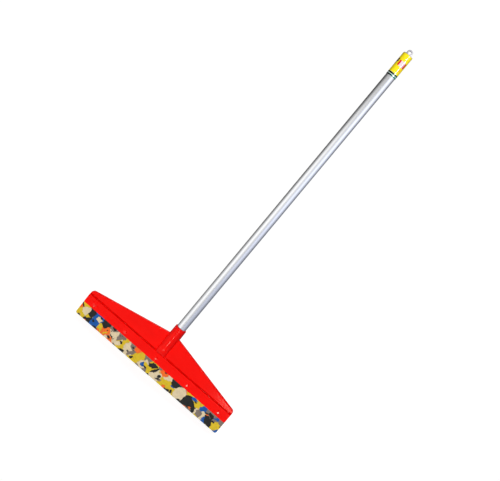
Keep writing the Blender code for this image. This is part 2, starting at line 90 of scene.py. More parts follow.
class NodeGraph:
    """A node tree that is wired by short calls."""

    def __init__(self, tree: bpy.types.NodeTree) -> None:
        """Empty the tree and keep it."""
        tree.nodes.clear()
        self.tree = tree

    def add(self, kind: str, inputs: dict[Any, Any] | None = None,
            **settings: Any) -> bpy.types.Node:
        """Add a node.

        Args:
            kind: Blender's name of the node type.
            inputs: A value or a socket for each named or numbered input.
            **settings: The node's own settings.

        Returns:
            The new node.
        """
        node = self.tree.nodes.new(kind)
        for name, value in settings.items():
            setattr(node, name, value)
        for key, value in (inputs or {}).items():
            socket = node.inputs[key]
            if isinstance(value, Socket):
                self.tree.links.new(value, socket)
            else:
                socket.default_value = (*value, 1.0) if socket.type == "RGBA" else value
        return node

    def maths(self, operation: str, *values: Any) -> Socket:
        """Return the result of a Math node."""
        return self.add("ShaderNodeMath", dict(enumerate(values)), operation=operation).outputs[0]

    def vector(self, operation: str, *values: Any) -> Socket:
        """Return the vector, or for a dot product or a length the value, of some vectors."""
        node = self.add("ShaderNodeVectorMath", dict(enumerate(values)), operation=operation)
        return node.outputs["Value" if operation in ("DOT_PRODUCT", "LENGTH") else "Vector"]

    def ramp(self, value: Any, low: Any, high: Any, start: float = 0.0, end: float = 1.0,
             form: str = "SMOOTHSTEP") -> Socket:
        """Return a step of a value.

        Args:
            value: What is stepped.
            low: Where the step begins.
            high: Where it ends.
            start: The result below the step.
            end: The result above it.
            form: SMOOTHSTEP for a soft step, LINEAR for a straight one.

        Returns:
            The stepped value.
        """
        given = {0: value, 1: low, 2: high, 3: start, 4: end}
        return self.add("ShaderNodeMapRange", given, interpolation_type=form).outputs[0]


class ShaderGraph(NodeGraph):
    """The node tree of a material or the world."""

    def place(self) -> Socket:
        """Return the Object coordinates of the shaded point."""
        return self.add("ShaderNodeTexCoord").outputs["Object"]

    def parts(self, vector: Socket) -> list[Socket]:
        """Return a vector's x, y and z."""
        return list(self.add("ShaderNodeSeparateXYZ", {0: vector}).outputs)

    def between(self, value: Socket, low: float, high: float, soft: float) -> Socket:
        """Return a mask that is 1 where the value lies between two limits, with soft edges."""
        return self.maths("MULTIPLY", self.ramp(value, low - soft, low + soft),
                          self.ramp(value, high - soft, high + soft, 1.0, 0.0))

    def blend(self, share: Any, first: Any, second: Any) -> Socket:
        """Return a colour between two colours."""
        return self.add("ShaderNodeMix", {0: share, 6: first, 7: second},
                        data_type="RGBA").outputs[2]

    def tinted(self, colour: Any, amount: Socket) -> Socket:
        """Return a colour multiplied by a value."""
        return self.add("ShaderNodeVectorMath", {0: colour, "Scale": amount},
                        operation="SCALE").outputs[0]

    def looked_up(self, value: Socket, stops: list[tuple[float, Colour]], form: str) -> Socket:
        """Return the colour that a row of stops has at a value.

        Args:
            value: The place in the row, from 0 to 1.
            stops: The place of each stop and its colour.
            form: LINEAR, or CONSTANT for plain steps.

        Returns:
            The colour.
        """
        node = self.add("ShaderNodeValToRGB", {"Fac": value})
        node.color_ramp.interpolation = form
        elements = node.color_ramp.elements
        for index, (place, colour) in enumerate(stops):
            element = elements[index] if index < 2 else elements.new(place)
            element.position = place
            element.color = (*colour, 1.0)
        return node.outputs[0]

    def noise(self, vector: Socket, scale: float | Point, detail: float = 3.0,
              roughness: float = 0.5) -> Socket:
        """Return a noise between 0 and 1.

        Args:
            vector: The place.
            scale: How fine it is, in all directions or in each of the three.
            detail: How many finer layers it has.
            roughness: How strong the finer layers are.

        Returns:
            The noise.
        """
        if isinstance(scale, tuple):
            vector, scale = self.vector("MULTIPLY", vector, scale), 1.0
        given = {"Vector": vector, "Scale": scale, "Detail": detail, "Roughness": roughness}
        return self.add("ShaderNodeTexNoise", given).outputs[0]

    def cells(self, vector: Socket, width: float, feature: str = "F1") -> Any:
        """Return the outputs of a field of cells of a given width."""
        return self.add("ShaderNodeTexVoronoi", {"Vector": vector, "Scale": 1.0 / width},
                        feature=feature).outputs

    def bump(self, height: Socket, depth: float, strength: float = 1.0,
             below: Socket | None = None) -> Socket:
        """Return a normal that follows a height field.

        Args:
            height: The field, from 0 to 1.
            depth: Its full height in metres.
            strength: How much of it is seen.
            below: A normal that is bumped already.

        Returns:
            The bumped normal.
        """
        given = {"Height": height, "Distance": depth, "Strength": strength}
        return self.add("ShaderNodeBump", given | ({"Normal": below} if below else {})).outputs[0]

    def principled(self, inputs: dict[str, Any]) -> Socket:
        """Return a Principled surface with the given inputs."""
        return self.add("ShaderNodeBsdfPrincipled", inputs).outputs[0]


def linear(*ink: int) -> Colour:
    """Return a screen colour, red, green and blue from 0 to 255, as linear light."""
    return tuple(share / 12.92 if share <= 0.04045 else ((share + 0.055) / 1.055) ** 2.4
                 for share in (value / 255 for value in ink))


# ---- finishes


@dataclass(frozen=True)
class Finish:
    """What every finish has: a name and a surface that its subclass wires."""

    name: str

    def surface(self, graph: ShaderGraph) -> Socket:
        """Wire the surface. Each finish has its own."""
        raise NotImplementedError

    def material(self) -> bpy.types.Material:
        """Return the finish's material, made on its first use.

        Returns:
            The material.
        """
        known = bpy.data.materials.get(self.name)
        if known is not None:
            return known
        material = bpy.data.materials.new(self.name)
        material.use_nodes = True
        graph = ShaderGraph(material.node_tree)
        graph.add("ShaderNodeOutputMaterial", {"Surface": self.surface(graph)})
        return material


@dataclass(frozen=True)
class GlossyMoulding(Finish):
    """Injection-moulded polypropylene with its gloss, flow marks and light scuffs.

    A groove is given by the two corners between which its colour is darkened: painted shade in
    the crease.
    """

    colour: Colour
    deep: Colour
    roughness: float = 0.085
    scuff: float = 0.04
    gloss: float = 0.14
    # Pale painted highlights where a piece's points carry them.
    painted_glints: bool = False
    groove: tuple[Point, Point] | None = None
    gloss_tint: Colour = (1.0, 0.86, 0.70)
    scuff_tint: Colour = (0.93, 0.42, 0.36)
    glint_ink: Ink = (255, 214, 204)
    crease_shade_ink: Ink = (150, 5, 3)
    flow_grain: Point = (18.0, 30.0, 42.0)
    wipe_grain: Point = (60.0, 900.0, 900.0)
    crease_shade_grain: Point = (55.0, 200.0, 200.0)

    def surface(self, graph: ShaderGraph) -> Socket:
        """Wire the moulded surface.

        Args:
            graph: The material's tree.

        Returns:
            The surface.
        """
        place = graph.place()
        flow = graph.noise(place, self.flow_grain)
        colour = graph.blend(graph.ramp(flow, 0.35, 0.70), self.colour, self.deep)
        wipe = graph.noise(place, self.wipe_grain, 4.0, 0.6)
        scuff = graph.ramp(wipe, 0.62, 0.80, 0.0, self.scuff)
        colour = graph.blend(scuff, colour, self.scuff_tint)
        # Painted highlight: pale spots at the middles of the rivet heads stand in for their
        # highlights.
        if self.painted_glints:
            mark = graph.add("ShaderNodeAttribute", attribute_name="mark").outputs["Fac"]
            colour = graph.blend(mark, colour, linear(*self.glint_ink))
        # Painted shade: the crease between the band and the fan is darkened in the colour.
        if self.groove is not None:
            crease_shade = self.painted_crease_shade(graph, place)
            colour = graph.blend(crease_shade, colour, linear(*self.crease_shade_ink))
        rough = graph.maths("ADD", graph.maths("MULTIPLY", flow, 0.10), self.roughness - 0.05)
        rough = graph.maths("ADD", rough, graph.maths("MULTIPLY", scuff, 1.2))
        skin = graph.bump(graph.noise(place, 420.0, 2.0), 0.000006)
        wave = graph.bump(graph.noise(place, 30.0, 1.0), 0.00008, below=skin)
        return graph.principled({"Base Color": colour, "Roughness": rough, "IOR": 1.49,
                                 "Specular IOR Level": self.gloss, "Normal": wave,
                                 "Specular Tint": self.gloss_tint})

    def painted_crease_shade(self, graph: ShaderGraph, place: Socket) -> Socket:
        """Return how much painted shade darkens the groove at a place.

        Args:
            graph: The material's tree.
            place: The Object coordinates.

        Returns:
            The share of painted shade, from 0 to 1.
        """
        low, high = self.groove
        east, north, rise = graph.parts(place)
        amount = graph.ramp(graph.noise(place, self.crease_shade_grain), 0.25, 0.75, 0.30, 0.55)
        for share in (graph.between(north, low[1], high[1], 0.0002),
                      graph.between(rise, low[2], high[2], 0.0004),
                      graph.ramp(graph.maths("ABSOLUTE", east), low[0], high[0])):
            amount = graph.maths("MULTIPLY", amount, share)
        return amount


@dataclass(frozen=True)
class MottledFoam(Finish):
    """Pressed foam chips: patches of several colours with seams and fine cells."""

    chip: float = 0.0205
    crumb: float = 0.0125
    speck: float = 0.0150
    crumb_share: float = 0.34
    crumb_shift: Point = (0.037, 0.011, 0.023)
    speck_shift: Point = (0.013, 0.004, 0.007)
    speck_squash: Point = (0.75, 1.0, 1.1)
    speck_reach: float = 0.20
    speck_share: float = 0.38
    speck_ink: Ink = (34, 36, 38)
    bend: Point = (0.012, 0.012, 0.012)
    pore: float = 1.0 / 1500.0
    pore_depth: float = 0.00012
    seam_depth: float = 0.0002
    shades: tuple[tuple[float, Ink], ...] = (
        (0.18, (219, 202, 166)), (0.27, (214, 184, 42)), (0.17, (38, 39, 38)),
        (0.17, (126, 114, 104)), (0.06, (28, 86, 160)), (0.15, (237, 110, 40)))

    def surface(self, graph: ShaderGraph) -> Socket:
        """Wire the foam's chips, seams and cells.

        Args:
            graph: The material's tree.

        Returns:
            The surface.
        """
        place = graph.place()
        wander = graph.add("ShaderNodeTexNoise", {"Vector": place, "Scale": 75.0, "Detail": 2.0})
        shift = graph.vector("SUBTRACT", wander.outputs["Color"], (0.5, 0.5, 0.5))
        bent = graph.vector("ADD", place, graph.vector("MULTIPLY", shift, self.bend))
        colour, seam, _ = self.chips(graph, bent, self.chip)
        moved = graph.vector("ADD", bent, self.crumb_shift)
        small, small_seam, pick = self.chips(graph, moved, self.crumb)
        chosen = graph.maths("GREATER_THAN", pick, 1.0 - self.crumb_share)
        colour = graph.blend(chosen, colour, small)
        seam = graph.maths("MINIMUM", seam, graph.ramp(chosen, 0.0, 1.0, 1.0, 0.0))
        seam = graph.maths("MAXIMUM", seam, graph.maths("MULTIPLY", chosen, small_seam))
        moved = graph.vector("ADD", bent, self.speck_shift)
        ovals = graph.cells(graph.vector("MULTIPLY", moved, self.speck_squash), self.speck)
        near = graph.maths("LESS_THAN", ovals["Distance"], self.speck_reach)
        few = graph.maths("GREATER_THAN", graph.parts(ovals["Color"])[1], 1.0 - self.speck_share)
        speck = graph.maths("MULTIPLY", near, few)
        colour = graph.blend(speck, colour, linear(*self.speck_ink))
        tone = graph.noise(place, 240.0)
        colour = graph.tinted(colour, graph.ramp(tone, 0.2, 0.8, 0.90, 1.08))
        colour = graph.tinted(colour, graph.ramp(seam, 0.0, 0.035, 0.78, 1.0))
        pores = graph.bump(graph.cells(place, self.pore)["Distance"], self.pore_depth, 0.6)
        normal = graph.bump(seam, self.seam_depth, 0.5, pores)
        return graph.principled({"Base Color": colour, "Roughness": 0.78, "Normal": normal,
                                 "Specular IOR Level": 0.25})

    def chips(self, graph: ShaderGraph, place: Socket, size: float) -> tuple[Socket, ...]:
        """Return what one layer of chips has at a place.

        Args:
            graph: The material's tree.
            place: The point, bent and moved.
            size: The usual width of a chip.

        Returns:
            The chip's colour, the distance to its seam as a share of a chip, and its own
            chance number.
        """
        dice = graph.parts(graph.cells(place, size)["Color"])
        start, stops = 0.0, []
        for portion, shade in self.shades:
            stops.append((start, linear(*shade)))
            start += portion
        seam = graph.cells(place, size, "DISTANCE_TO_EDGE")[0]
        return graph.looked_up(dice[0], stops, "CONSTANT"), seam, dice[1]


@dataclass(frozen=True)
class DrawnAluminium(Finish):
    """Bright drawn aluminium with fine lengthwise lines."""

    colour: Colour = (0.86, 0.865, 0.88)
    roughness: Span = (0.16, 0.26)
    line_grain: Point = (2600.0, 2600.0, 3.0)
    patch_grain: Point = (160.0, 160.0, 14.0)

    def surface(self, graph: ShaderGraph) -> Socket:
        """Wire the drawn metal.

        Args:
            graph: The material's tree.

        Returns:
            The surface.
        """
        place = graph.place()
        lines = graph.noise(place, self.line_grain, 3.0, 0.6)
        patches = graph.noise(place, self.patch_grain)
        colour = graph.tinted(self.colour, graph.ramp(patches, 0.3, 0.7, 0.96, 1.0))
        round_it = graph.add("ShaderNodeTangent", direction_type="RADIAL", axis="Z").outputs[0]
        return graph.principled({"Base Color": colour, "Metallic": 1.0, "Anisotropic": 0.6,
                                 "Roughness": graph.ramp(lines, 0.25, 0.75, *self.roughness),
                                 "Normal": graph.bump(lines, 0.000006, 0.3),
                                 "Tangent": round_it})


@dataclass(frozen=True)
class PalePlastic(Finish):
    """Off-white moulded polypropylene with a soft sheen."""

    colour: Colour = (0.80, 0.80, 0.81)

    def surface(self, graph: ShaderGraph) -> Socket:
        """Wire the pale plastic.

        Args:
            graph: The material's tree.

        Returns:
            The surface.
        """
        place = graph.place()
        cloud = graph.noise(place, 130.0)
        grain = graph.noise(place, 1900.0, 2.0)
        colour = graph.tinted(self.colour, graph.ramp(cloud, 0.3, 0.7, 0.93, 1.0))
        return graph.principled({"Base Color": colour, "Specular IOR Level": 0.4,
                                 "Roughness": graph.ramp(grain, 0.3, 0.7, 0.36, 0.50),
                                 "Normal": graph.bump(grain, 0.00003)})


@dataclass(frozen=True)
class PrintedWrap(Finish):
    """A glossy printed film; its map gives the way round and the way up, in metres.

    A block has its limits round the tube, its limits up the label and its ink. A ring has its
    limits up the label and its inks on the left and on the right.
    """

    ground: tuple[Ink, Ink] = ((246, 226, 26), (240, 196, 24))
    blocks: tuple[tuple[Span, Span, Ink], ...] = (
        ((-0.0020, 0.0088), (0.0250, 0.0375), (226, 206, 212)),
        ((0.0040, 0.0084), (0.0256, 0.0330), (226, 168, 186)),
        ((-0.0057, -0.0017), (0.0256, 0.0375), (222, 20, 25)),
        ((0.0084, 0.0125), (0.0242, 0.0369), (205, 25, 45)),
        ((-0.0150, -0.0082), (0.0313, 0.0392), (96, 62, 48)),
        ((-0.0160, -0.0118), (0.0255, 0.0313), (96, 62, 48)),
        ((0.0066, 0.0102), (0.0155, 0.0205), (252, 170, 14)))
    block_edge: float = 0.0004
    foot: tuple[Span, Ink] = ((-0.001, 0.0081), (196, 214, 206))
    rings: tuple[tuple[Span, Ink, Ink], ...] = (
        ((0.0044, 0.0079), (5, 8, 9), (4, 78, 60)),
        ((-0.0010, 0.0028), (6, 18, 16), (8, 132, 112)))
    # Where the rings turn from their dark left ink, which is painted shade, to their right ink.
    ring_shade: Span = (-0.0050, 0.0060)

    def surface(self, graph: ShaderGraph) -> Socket:
        """Wire the print: yellow ground, white panel, plain bars and rings.

        Args:
            graph: The material's tree.

        Returns:
            The surface.
        """
        spot = graph.add("ShaderNodeUVMap", uv_map="wrap").outputs[0]
        around, up, _ = graph.parts(spot)
        cloud = graph.noise(spot, (160.0, 160.0, 1.0), 2.0)
        yellows = (linear(*ink) for ink in self.ground)
        colour = graph.blend(graph.ramp(cloud, 0.45, 0.75, 0.0, 0.5), *yellows)
        for wide, high, ink in self.blocks:
            block = graph.maths("MULTIPLY", graph.between(around, *wide, self.block_edge),
                                graph.between(up, *high, self.block_edge))
            colour = graph.blend(block, colour, linear(*ink))
        limits, ink = self.foot
        colour = graph.blend(graph.between(up, *limits, 0.0001), colour, linear(*ink))
        # Painted shade: each ring's ink runs from near-black on the left, which lies in shade, to
        # teal on the right.
        shade = graph.ramp(around, *self.ring_shade)
        for limits, left, right in self.rings:
            ink = graph.blend(shade, linear(*left), linear(*right))
            colour = graph.blend(graph.between(up, *limits, 0.00015), colour, ink)
        film = graph.noise(spot, (420.0, 420.0, 1.0), 2.0)
        return graph.principled({"Base Color": colour, "Roughness": 0.30, "Coat Weight": 0.4,
                                 "Coat Roughness": 0.06, "Specular IOR Level": 0.1,
                                 "Normal": graph.bump(film, 0.00001, 0.2)})


@dataclass(frozen=True)
class StudioFloor(Finish):
    """A pale floor that the camera sees as white, with the object's shadow on it."""

    fade: Span = (0.45, 0.75)
    glow: float = 0.90
    grey: Colour = (0.24, 0.24, 0.24)

    def surface(self, graph: ShaderGraph) -> Socket:
        """Wire the floor; it fades out towards its rim.

        Args:
            graph: The material's tree.

        Returns:
            The surface.
        """
        path = graph.add("ShaderNodeLightPath").outputs
        seen = graph.maths("MAXIMUM", path["Is Camera Ray"], path["Is Transmission Ray"])
        glow = graph.add("ShaderNodeEmission", {
            "Color": (1.0, 1.0, 1.0), "Strength": graph.maths("MULTIPLY", seen, self.glow)})
        matt = graph.add("ShaderNodeBsdfDiffuse", {"Color": self.grey})
        lit = graph.add("ShaderNodeAddShader", {0: glow.outputs[0], 1: matt.outputs[0]})
        level = graph.vector("MULTIPLY", graph.place(), (1.0, 1.0, 0.0))
        return graph.add("ShaderNodeMixShader", {
            0: graph.ramp(graph.vector("LENGTH", level), *self.fade), 1: lit.outputs[0],
            2: graph.add("ShaderNodeBsdfTransparent").outputs[0]}).outputs[0]


RED = GlossyMoulding("glossy_red_polypropylene", linear(252, 8, 4), linear(246, 6, 3))
# The head's crease takes painted shade in its colour.
HEAD_RED = replace(RED, name="glossy_red_head",
                   groove=((0.0125, -0.0078, 0.0515), (0.0150, -0.0060, 0.0563)))
# The rivet heads take pale painted highlights at their middles.
STUD_RED = GlossyMoulding("pressed_red_stud", linear(250, 8, 4), linear(244, 6, 3),
                          roughness=0.14, scuff=0.0, gloss=0.40, painted_glints=True)
FOAM = MottledFoam("pressed_foam_chips")
METAL = DrawnAluminium("drawn_aluminium")
PALE = PalePlastic("off_white_polypropylene")
GREY = PalePlastic("light_grey_polypropylene", (0.42, 0.41, 0.44))
WRAP = PrintedWrap("printed_film_wrap")
FLOOR = StudioFloor("pale_studio_floor")


# ---- mesh helpers


def linked(name: str, data: Any) -> bpy.types.Object:
    """Link a new object to the scene.

    Args:
        name: The object's name.
        data: Its mesh, lamp or camera.

    Returns:
        The object.
    """
    item = bpy.data.objects.new(name, data)
    bpy.context.scene.collection.objects.link(item)
    return item


def add_piece(name: str, mesh: Mesh, body: Body | None = None,
              finish: Finish | None = None, stands_for: tuple[str, ...] = (),
              flats: bool = False) -> bpy.types.Object:
    """Link a finished mesh, attach it to its body, give it its finish and hide the CAD nodes that
    it stands for.

    Args:
        name: The piece's name.
        mesh: Its mesh, already in place.
        body: The body that it moves with.
        finish: The finish that it wears.
        stands_for: The CAD nodes that it replaces.
        flats: Whether its large flats lead the shading of the rounds beside them.

    Returns:
        The piece.
    """
    piece = linked(name, mesh)
    if finish is not None:
        mesh.materials.clear()
        mesh.materials.append(finish.material())
    if body is not None:
        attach(piece, body.value)
    if stands_for:
        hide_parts(*stands_for)
    if flats:
        step = piece.modifiers.new("flat_faces", "WEIGHTED_NORMAL")
        step.keep_sharp = True
        step.weight = 100
    LOG.info("%s: %d faces", name, len(mesh.polygons))
    return piece


def opened(mesh: Mesh) -> bmesh.types.BMesh:
    """Return a new bmesh that holds a mesh.

    Args:
        mesh: The mesh, which stays as it is.

    Returns:
        The bmesh.
    """
    bm = bmesh.new()
    bm.from_mesh(mesh)
    return bm


def mesh_of(name: str, bm: bmesh.types.BMesh, sharp: float = SHARP_ANGLE) -> Mesh:
    """Turn a bmesh into a mesh with faces outward, smooth except at its sharp edges.

    Args:
        name: The mesh's name.
        bm: The bmesh, which is used up.
        sharp: The angle in degrees from which an edge stays sharp.

    Returns:
        The mesh.
    """
    bmesh.ops.remove_doubles(bm, verts=bm.verts, dist=MERGE_DISTANCE)
    bmesh.ops.recalc_face_normals(bm, faces=bm.faces)
    for face in bm.faces:
        face.smooth = True
    for edge in bm.edges:
        edge.smooth = edge.calc_face_angle(pi) < radians(sharp)
    mesh = bpy.data.meshes.new(name)
    bm.to_mesh(mesh)
    bm.free()
    stale = mesh.attributes.get("custom_normal")
    if stale is not None:
        mesh.attributes.remove(stale)
    return mesh


def merged_copy(node: str, name: str) -> Mesh:
    """Return a copy of a CAD node's mesh with its loose triangles joined and its flats whole.

    Args:
        node: The CAD node.
        name: The new mesh's name.

    Returns:
        The joined mesh.
    """
    bm = opened(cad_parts[node].data)
    bmesh.ops.remove_doubles(bm, verts=bm.verts, dist=MERGE_DISTANCE)
    bmesh.ops.dissolve_limit(bm, angle_limit=radians(0.5), verts=bm.verts, edges=bm.edges)
    return mesh_of(name, bm)


def turned(name: str, profile: list[Span], centre: Point = (0.0, AXIS_Y, 0.0),
           upright: bool = True, sides: int = 72, closed: bool = False,
           sharp: float = SHARP_ANGLE) -> Mesh:
    """Spin a profile once round an axis that is upright or runs from front to back.

    Args:
        name: The mesh's name.
        profile: The (radius, way along the axis) points, from one end to the other.
        centre: The point of the axis from which they are measured.
        upright: Whether the axis is upright.
        sides: How many steps go round.
        closed: Whether the last point joins the first.
        sharp: The angle in degrees from which an edge stays sharp.

    Returns:
        The turned mesh.
    """
    x, y, z = centre
    bm = bmesh.new()
    verts = [bm.verts.new((x + radius, y, z + along) if upright else (x + radius, y + along, z))
             for radius, along in profile]
    pairs = list(zip(verts, verts[1:]))
    if closed:
        pairs.append((verts[-1], verts[0]))
    edges = [bm.edges.new(pair) for pair in pairs]
    axis = (0.0, 0.0, 1.0) if upright else (0.0, 1.0, 0.0)
    bmesh.ops.spin(bm, geom=verts + edges, cent=centre, axis=axis, angle=2 * pi,
                   steps=sides, use_merge=True)
    return mesh_of(name, bm, sharp)


def bridge(bm: bmesh.types.BMesh, rings: list[list[bmesh.types.BMVert]]) -> None:
    """Join each closed ring of points to the next one by a band of faces.

    Args:
        bm: The bmesh.
        rings: Rings of the same number of points.
    """
    for lower, upper in zip(rings, rings[1:]):
        for here in range(len(lower)):
            there = (here + 1) % len(lower)
            bm.faces.new((lower[here], lower[there], upper[there], upper[here]))


def combined(mesh: Mesh, other: Mesh, sharp: float, operation: str = "DIFFERENCE") -> Mesh:
    """Cut one closed shape out of another, or join the two.

    Args:
        mesh: The first shape.
        other: What is taken away or added.
        sharp: The angle in degrees from which an edge stays sharp.
        operation: DIFFERENCE or UNION.

    Returns:
        The new mesh.
    """
    blank, tool = linked("blank", mesh), linked("tool", other)
    step = blank.modifiers.new("cut", "BOOLEAN")
    step.operation = operation
    step.solver = "EXACT"
    step.object = tool
    depsgraph = bpy.context.evaluated_depsgraph_get()
    result = bpy.data.meshes.new_from_object(blank.evaluated_get(depsgraph))
    result.name = mesh.name
    for item in (blank, tool):
        bpy.data.objects.remove(item)
    return mesh_of(result.name, opened(result), sharp)


# ---- geometry nodes


class ShapeGraph(NodeGraph):
    """A geometry tree with named inputs, whose result becomes a plain mesh."""

    def __init__(self, name: str, inputs: dict[str, str]) -> None:
        """Start a tree.

        Args:
            name: The tree's name.
            inputs: The kind of each named input besides the geometry and the material.
        """
        tree = bpy.data.node_groups.new(name, "GeometryNodeTree")
        super().__init__(tree)
        for label, kind in ({"Geometry": "Geometry"} | inputs | {"Material": "Material"}).items():
            tree.interface.new_socket(label, in_out="INPUT", socket_type="NodeSocket" + kind)
        tree.interface.new_socket("Geometry", in_out="OUTPUT", socket_type="NodeSocketGeometry")
        self.given = self.add("NodeGroupInput").outputs

    def along_x(self, reach: Socket) -> Socket:
        """Return a vector along X."""
        return self.add("ShaderNodeCombineXYZ", {"X": reach}).outputs[0]

    def stored(self, shape: Socket, name: str, value: Socket) -> Socket:
        """Return a shape whose points carry a value under a name."""
        return self.add("GeometryNodeStoreNamedAttribute", {
            "Geometry": shape, "Name": name, "Value": value},
            data_type="FLOAT", domain="POINT").outputs[0]

    def recalled(self, name: str) -> Socket:
        """Return the value that the points carry under a name."""
        return self.add("GeometryNodeInputNamedAttribute", {"Name": name},
                        data_type="FLOAT").outputs[0]

    def realized(self, shape: Socket) -> Socket:
        """Return a shape whose copies are real."""
        return self.add("GeometryNodeRealizeInstances", {"Geometry": shape}).outputs[0]

    def end(self, shape: Socket) -> None:
        """Realize the shape, give it its material and end the tree."""
        dressed = self.add("GeometryNodeSetMaterial", {
            "Geometry": self.realized(shape), "Material": self.given["Material"]})
        self.add("NodeGroupOutput", {0: dressed.outputs[0]})

    def bake(self, name: str, values: dict[str, Any], seed: Mesh | None = None) -> Mesh:
        """Run the tree once and return its result as a plain mesh.

        Args:
            name: The mesh's name.
            values: A value for each named input.
            seed: The mesh that the tree starts from.

        Returns:
            The finished mesh.
        """
        carrier = linked(name, seed or bpy.data.meshes.new(name))
        step = carrier.modifiers.new(name, "NODES")
        step.node_group = self.tree
        for item in self.tree.interface.items_tree:
            if item.in_out == "INPUT" and item.name in values:
                step[item.identifier] = values[item.name]
        depsgraph = bpy.context.evaluated_depsgraph_get()
        mesh = bpy.data.meshes.new_from_object(carrier.evaluated_get(depsgraph))
        mesh.name = name
        carrier.modifiers.remove(step)
        bpy.data.objects.remove(carrier)
        return mesh


def row_graph() -> ShapeGraph:
    """Return the tree that repeats a small piece along the head at an even pitch.

    Each copy carries a painted highlight at its middle: a pale spot, wider from copy to copy
    towards +X, where the light catches the heads.

    Returns:
        The tree.
    """
    graph = ShapeGraph("even_row", {"Count": "Int", "Pitch": "Float", "Mark": "Float",
                                    "Centre": "Vector"})
    given = graph.given
    spot = graph.add("GeometryNodeInputPosition").outputs[0]
    arm = graph.vector("SUBTRACT", spot, given["Centre"])
    reach = graph.vector("LENGTH", graph.vector("MULTIPLY", arm, (1.0, 0.0, 1.0)))
    piece = graph.stored(given["Geometry"], "reach", reach)
    spaces = graph.maths("SUBTRACT", given["Count"], 1.0)
    start = graph.maths("MULTIPLY", graph.maths("MULTIPLY", spaces, -0.5), given["Pitch"])
    line = graph.add("GeometryNodeMeshLine", {
        "Count": given["Count"], "Start Location": graph.along_x(start),
        "Offset": graph.along_x(given["Pitch"])})
    index = graph.add("GeometryNodeInputIndex").outputs[0]
    ranked = graph.stored(line.outputs[0], "rank", graph.maths("DIVIDE", index, spaces))
    copies = graph.add("GeometryNodeInstanceOnPoints", {"Points": ranked, "Instance": piece})
    late = graph.maths("POWER", graph.recalled("rank"), 1.5)
    wide = graph.maths("MULTIPLY", late, given["Mark"])
    mark = graph.ramp(graph.recalled("reach"), graph.maths("MULTIPLY", wide, 0.55),
                      graph.maths("ADD", wide, 0.00001), 1.0, 0.0)
    graph.end(graph.stored(graph.realized(copies.outputs[0]), "mark", mark))
    return graph


def thread_graph() -> ShapeGraph:
    """Return the tree of a screw thread: a tapered ridge that climbs round an upright axis.

    Returns:
        The tree.
    """
    graph = ShapeGraph("screw_thread", {
        "Radius": "Float", "Length": "Float", "Turns": "Float", "Height": "Float",
        "Foot": "Float", "Crest": "Float", "Sink": "Float", "Place": "Vector"})
    given = graph.given
    climb = graph.add("GeometryNodeCurveSpiral", {
        "Resolution": 40, "Rotations": given["Turns"], "Start Radius": given["Radius"],
        "End Radius": given["Radius"], "Height": given["Length"]})
    upright = graph.add("GeometryNodeSetCurveNormal", {"Curve": climb.outputs[0]}, mode="Z_UP")
    corners = {}
    for number, (out, wide, side) in enumerate((
            ("Sink", "Foot", -1.0), ("Height", "Crest", -1.0),
            ("Height", "Crest", 1.0), ("Sink", "Foot", 1.0)), start=1):
        corners[f"Point {number}"] = graph.add("ShaderNodeCombineXYZ", {
            "X": given[out], "Y": graph.maths("MULTIPLY", given[wide], side)}).outputs[0]
    section = graph.add("GeometryNodeCurvePrimitiveQuadrilateral", corners, mode="POINTS")
    along = graph.add("GeometryNodeSplineParameter").outputs["Factor"]
    size = graph.maths("MULTIPLY", graph.ramp(along, 0.0, 0.07, 0.05, 1.0, "LINEAR"),
                       graph.ramp(along, 0.93, 1.0, 1.0, 0.05, "LINEAR"))
    ridge = graph.add("GeometryNodeCurveToMesh", {
        "Curve": upright.outputs[0], "Profile Curve": section.outputs[0], "Scale": size,
        "Fill Caps": True})
    placed = graph.add("GeometryNodeTransform", {"Geometry": ridge.outputs[0],
                                                 "Translation": given["Place"]})
    graph.end(placed.outputs[0])
    return graph


@dataclass(frozen=True)
class ScrewThread:
    """A thread round the handle's axis, inward in the socket and outward on the shank."""

    radius: float
    bottom: float
    length: float
    inward: float
    pitch: float = 0.005
    height: float = 0.00065
    sink: float = 0.0004
    foot: float = 0.0010
    crest: float = 0.0005

    def cut(self, name: str, finish: Finish) -> Mesh:
        """Return the thread's ridge as a mesh.

        Args:
            name: The mesh's name.
            finish: The finish that it wears.

        Returns:
            The ridge.
        """
        ridge = thread_graph().bake(name, {
            "Radius": self.radius, "Length": self.length, "Turns": self.length / self.pitch,
            "Height": self.inward * self.height, "Sink": -self.inward * self.sink,
            "Foot": self.foot, "Crest": self.crest, "Place": (0.0, AXIS_Y, self.bottom),
            "Material": finish.material()})
        return mesh_of(name, opened(ridge))


# ---- the head


